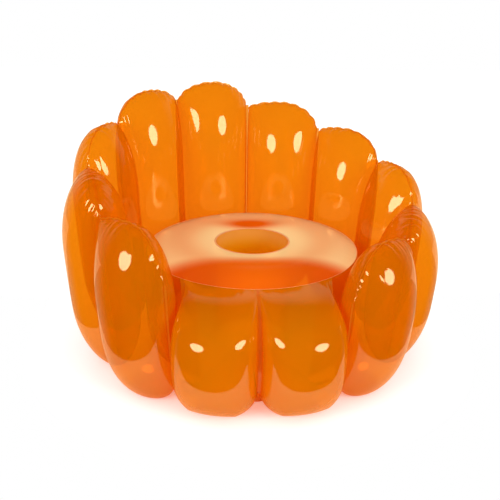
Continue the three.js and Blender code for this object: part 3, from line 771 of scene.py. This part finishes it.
# Injection-moulded soft PVC: satin with a faint mottle, and cloudy, so that its thin edges glow.
valve_pvc = bpy.data.materials.new("moulded_orange_pvc")
tree = bare_tree(valve_pvc)
place = add_node(tree, "TexCoord").outputs["Object"]
mottle = add_node(tree, "TexNoise", {"Scale": 1 / (MOTTLE * MM), "Detail": 3}, {"Vector": place})
grain = add_node(tree, "Bump", {"Strength": 0.12, "Distance": MOTTLE_DEPTH * MM}, {"Height": mottle})
satin = {"Base Color": linear("#f2a35a"), "Roughness": 0.32, "IOR": 1.53}
cloudy = {
    "Subsurface Weight": 0.35,
    "Subsurface Radius": (4 * MM, 2 * MM, 0.8 * MM),
    "Subsurface Scale": 1.0,
}
moulded = add_node(tree, "BsdfPrincipled", {**satin, **cloudy}, {"Normal": grain})
add_node(tree, "OutputMaterial", {}, {"Surface": moulded})

# Outlines of the turned pieces, as (radius, height), with height 0 at the film's face and up out of it
flange_outline = [
    (COLLAR_BORE, FACE_STEP),
    (COLLAR_BORE, COLLAR_END),
    (COLLAR_RADIUS, COLLAR_END),
    (COLLAR_RADIUS, FLANGE_BACK - 0.8),
    (COLLAR_RADIUS + 0.8, FLANGE_BACK - 0.2),
    (FLANGE_RADIUS - 0.6, FLANGE_BACK),
    (FLANGE_RADIUS, FLANGE_BACK + 0.3),
    (FLANGE_RADIUS, FLANGE_FACE - 0.3),
    (FLANGE_RADIUS - 1, FLANGE_FACE),
    (COLLAR_RADIUS + 1.5, FLANGE_FACE),
    (COLLAR_RADIUS + 1.1, FACE_STEP),
    (COLLAR_BORE, FACE_STEP),
]
stem_outline = [
    (STEM_BORE, STEM_END),
    (COLLAR_RADIUS, STEM_END),
    (COLLAR_RADIUS, STEM_BEAD),
    (STEM_RADIUS, STEM_BEAD + 0.1),
    (STEM_RADIUS, -16.0),
    (STEM_RADIUS - 0.2, -15.8),
    (STEM_RADIUS - 0.2, -15.0),
    (STEM_RADIUS, -14.8),
    (STEM_RADIUS, STEM_TOP),
    (STEM_BORE, STEM_TOP),
    (STEM_BORE, STEM_END),
]
flap_outline = [
    (0, FLAP_FACE - 0.8),
    (6.4, FLAP_FACE - 0.8),
    (6.8, FLAP_FACE - 0.5),
    (FLAP_RADIUS - 0.3, FLAP_FACE - 0.5),
    (FLAP_RADIUS, FLAP_FACE - 0.3),
    (FLAP_RADIUS - 0.2, FLAP_FACE),
    (0, FLAP_FACE),
]
stopper_outline = [
    (0, PLUG_END),
    (PLUG_RADIUS - 0.8, PLUG_END),
    (PLUG_RADIUS, PLUG_END + 0.8),
    (PLUG_RADIUS, -7.2),
    (PLUG_RADIUS - 0.3, -6.9),
    (PLUG_RADIUS - 0.3, -6.3),
    (PLUG_RADIUS, -6.0),
    (PLUG_RADIUS, HEAD_BACK),
    (HEAD_RADIUS, HEAD_BACK),
    (HEAD_RADIUS, HEAD_BACK + 1.3),
    (HEAD_RADIUS - 0.6, FACE_STEP - 0.05),
    (4.2, FACE_STEP),
    (3.4, FACE_STEP - 0.45),
    (0, FACE_STEP - 0.5),
]


def turned(name, outline, place, axis, body):
    """A lathe piece about a valve's axis, with its edges softened as a mould leaves them."""
    upright_to_axis = Vector((0, 0, 1)).rotation_difference(Vector(axis)).to_matrix()
    around = np.linspace(0, 2 * math.pi, VALVE_FACETS, endpoint=False)[:, None]
    radius, height = np.array(outline, float).T[:, None]
    local = np.stack(np.broadcast_arrays(np.cos(around) * radius, np.sin(around) * radius, height), -1)
    points = place + local @ np.array(upright_to_axis).T
    piece = make_piece(name, points, grid_faces(*points.shape[:2], closed_round=True), valve_pvc, body)
    weld_doubles(piece, within=0.002)
    soften = piece.modifiers.new("rounded_edges", "BEVEL")
    soften.width = EDGE_ROUNDING * MM
    soften.segments = 2
    soften.limit_method = "ANGLE"
    return piece


for valve, place, axis in (
    ("wall", wall_valve_place, wall_valve_axis),
    ("seat", seat_valve_place, seat_valve_axis),
):
    for form, node, body, outline in (
        ("flange_ring", "flange", "chair", flange_outline),
        ("stem_tube", "stem", f"{valve}_stem", stem_outline),
        ("flap_disc", "check_flap", f"{valve}_stem", flap_outline),
        ("stopper_plug", "stopper", f"{valve}_stopper", stopper_outline),
    ):
        piece = turned(f"{valve}_valve_{form}", outline, place, axis, body)
        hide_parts(f"{valve}_valve_{node}")

# Floor
# A sheet of studio paper that is narrow and cut to a bow in front of the chair and wide behind it. The
# camera sees white beyond it, but the film mirrors only the near strip, low on each lobe.
SHEET_HALF_WIDTH, SHEET_FRONT, SHEET_LEVEL = 0.69, 0.68, -0.001
SHEET_SIDE, BACK_SHEET_FRONT, BACK_SHEET_END, BACK_SHEET_HALF_WIDTH = 0.3, 0.6, 6, 3
SHEET_BOW_CORNERS = 65
SHEET_GLOW = 0.2

# Matt white paper: it scatters evenly. The little glow is for the camera only, so that the sheet is as
# white as the studio beyond and its edge doesn't show.
paper = bpy.data.materials.new("white_studio_paper")
tree = bare_tree(paper)
matt = add_node(tree, "BsdfDiffuse", {"Color": linear("#fbfbfb")})
camera_ray = add_node(tree, "LightPath").outputs["Is Camera Ray"]
lift = add_node(tree, "Math", {"operation": "MULTIPLY", 1: SHEET_GLOW}, {0: camera_ray})
glow = add_node(tree, "Emission", {}, {"Strength": lift})
lit_sheet = add_node(tree, "AddShader", {}, {0: matt, 1: glow})
add_node(tree, "OutputMaterial", {}, {"Surface": lit_sheet})

bow = np.linspace(math.pi, 2 * math.pi, SHEET_BOW_CORNERS)
sheet_corners = [(SHEET_HALF_WIDTH * math.cos(a), SHEET_FRONT * math.sin(a)) for a in bow]
right_side = [
    (SHEET_HALF_WIDTH, SHEET_SIDE),
    (BACK_SHEET_HALF_WIDTH, BACK_SHEET_FRONT),
    (BACK_SHEET_HALF_WIDTH, BACK_SHEET_END),
]
sheet_corners += right_side + [(-x, y) for x, y in reversed(right_side)]
floor_mesh = bpy.data.meshes.new("floor")
floor_mesh.from_pydata([(x, y, SHEET_LEVEL) for x, y in sheet_corners], [], [range(len(sheet_corners))])
floor_mesh.materials.append(paper)
floor = bpy.data.objects.new("floor", floor_mesh)
scene.collection.objects.link(floor)

# Light
# An even white studio. The film mirrors none of it but a dimmer backdrop behind the chair, and two
# elliptical softboxes in front, which give each lobe its two bright patches.
BACKDROP_LEVEL, BACKDROP_START, BACKDROP_FULL = 0.55, 0.05, 0.75
BACKDROP_TOP, BACKDROP_END = 0.42, 0.62
BOX_ELEVATION, BOX_DISTANCE, BOX_AIM = math.radians(14), 3.2, Vector((0, 0, 0.4))
BOX_WIDE, BOX_TALL, BOX_WATTS = 1.5, 1.2, 42
LEFT_BOX, RIGHT_BOX = math.radians(-44), math.radians(42)

world = bpy.data.worlds.new("white_studio")
scene.world = world
tree = bare_tree(world)
glossy_ray = add_node(tree, "LightPath").outputs["Is Glossy Ray"]
direction = add_node(tree, "TexCoord").outputs["Generated"]
split = add_node(tree, "SeparateXYZ", {}, {0: direction})
to_back = {"From Min": BACKDROP_START, "From Max": BACKDROP_FULL, "To Min": 0, "To Max": BACKDROP_LEVEL}
to_top = {"From Min": BACKDROP_TOP, "From Max": BACKDROP_END, "To Min": 1, "To Max": 0}
smooth = {"interpolation_type": "SMOOTHSTEP"}
behind = add_node(tree, "MapRange", {**smooth, **to_back}, {"Value": split.outputs["Y"]})
below_top = add_node(tree, "MapRange", {**smooth, **to_top}, {"Value": split.outputs["Z"]})
backdrop = add_node(tree, "Math", {"operation": "MULTIPLY"}, {0: behind, 1: below_top})
mirrored = add_node(tree, "Math", {"operation": "MULTIPLY"}, {0: glossy_ray, 1: backdrop})
unmirrored = add_node(tree, "Math", {"operation": "SUBTRACT", 0: 1}, {1: glossy_ray})
strength = add_node(tree, "Math", {"operation": "ADD"}, {0: unmirrored, 1: mirrored})
sky = add_node(tree, "Background", {"Color": linear("#ffffff")}, {"Strength": strength})
add_node(tree, "OutputWorld", {}, {"Surface": sky})

for name, azimuth in (("softbox_left", LEFT_BOX), ("softbox_right", RIGHT_BOX)):
    out_x, out_y, _ = outward_at(azimuth) * math.cos(BOX_ELEVATION)
    away = Vector((out_x, out_y, math.sin(BOX_ELEVATION)))
    lamp = bpy.data.lights.new(name, "AREA")
    lamp.shape = "ELLIPSE"
    lamp.size, lamp.size_y = BOX_WIDE, BOX_TALL
    lamp.energy = BOX_WATTS
    box = bpy.data.objects.new(name, lamp)
    box.location = BOX_AIM + away * BOX_DISTANCE
    box.rotation_mode = "QUATERNION"
    box.rotation_quaternion = away.to_track_quat("Z", "Y")
    scene.collection.objects.link(box)

# The renderer
# Seen along the wall, many sheets of film stand one behind another, and each counts as a bounce. The
# standard view keeps the studio's white as white.
scene.view_settings.view_transform = "Standard"
scene.cycles.transparent_max_bounces = 48
